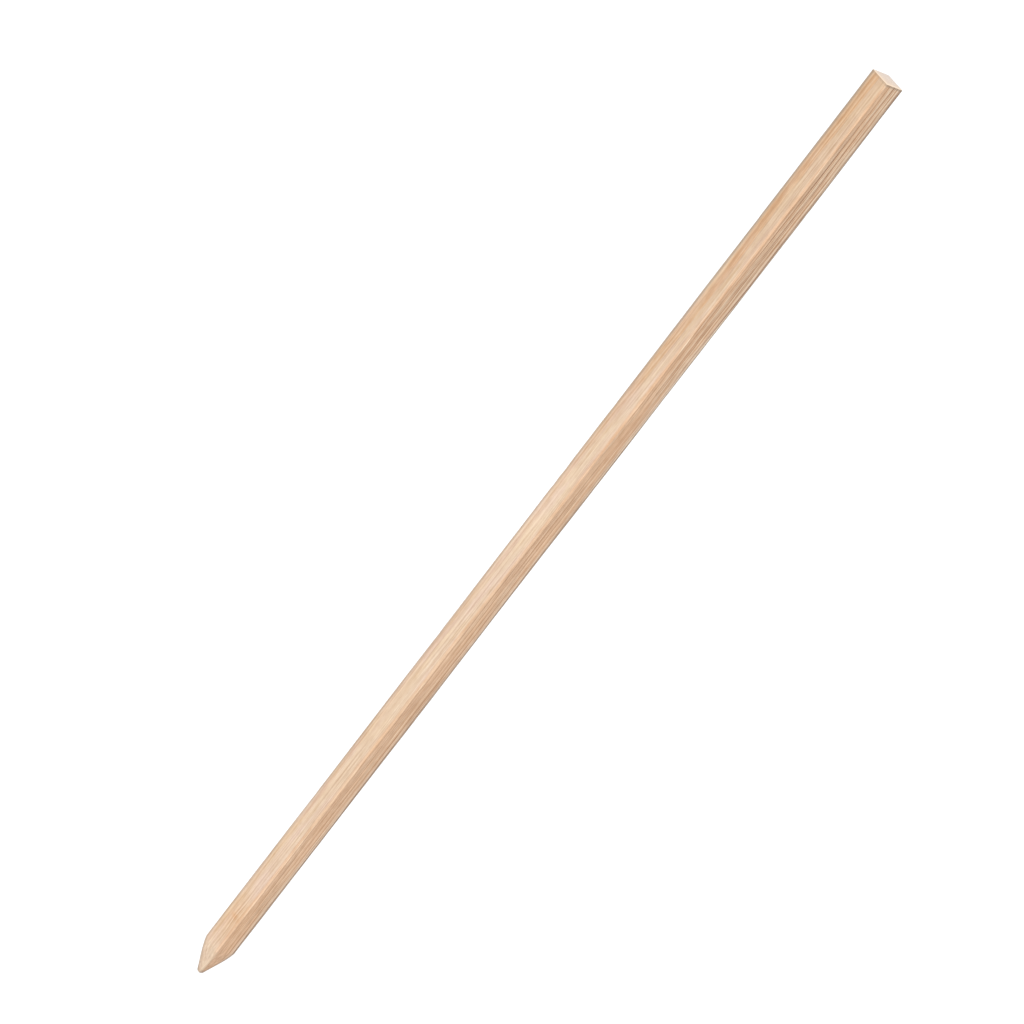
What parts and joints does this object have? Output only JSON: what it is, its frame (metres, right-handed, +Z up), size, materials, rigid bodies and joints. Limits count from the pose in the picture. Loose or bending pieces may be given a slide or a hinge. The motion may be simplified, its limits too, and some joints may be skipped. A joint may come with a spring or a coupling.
{
  "type": "garden stake",
  "caption": "Square wooden garden stake or long dibber: one straight length of timber with a four-sided cut point and a flat sawn top.",
  "frame": {"origin": "middle of the blunt end of the point, at the bottom of the upright stake", "axes": "+Z up the length of the stake, from its point to its driven end; the four long faces look along -Y, +X, +Y and -X"},
  "size_m": [0.0254, 0.0254, 1.2],
  "materials": {
    "timber": "planed and unfinished"
  },
  "bodies": {
    "root": {"stake": "timber"}
  },
  "joints": []
}
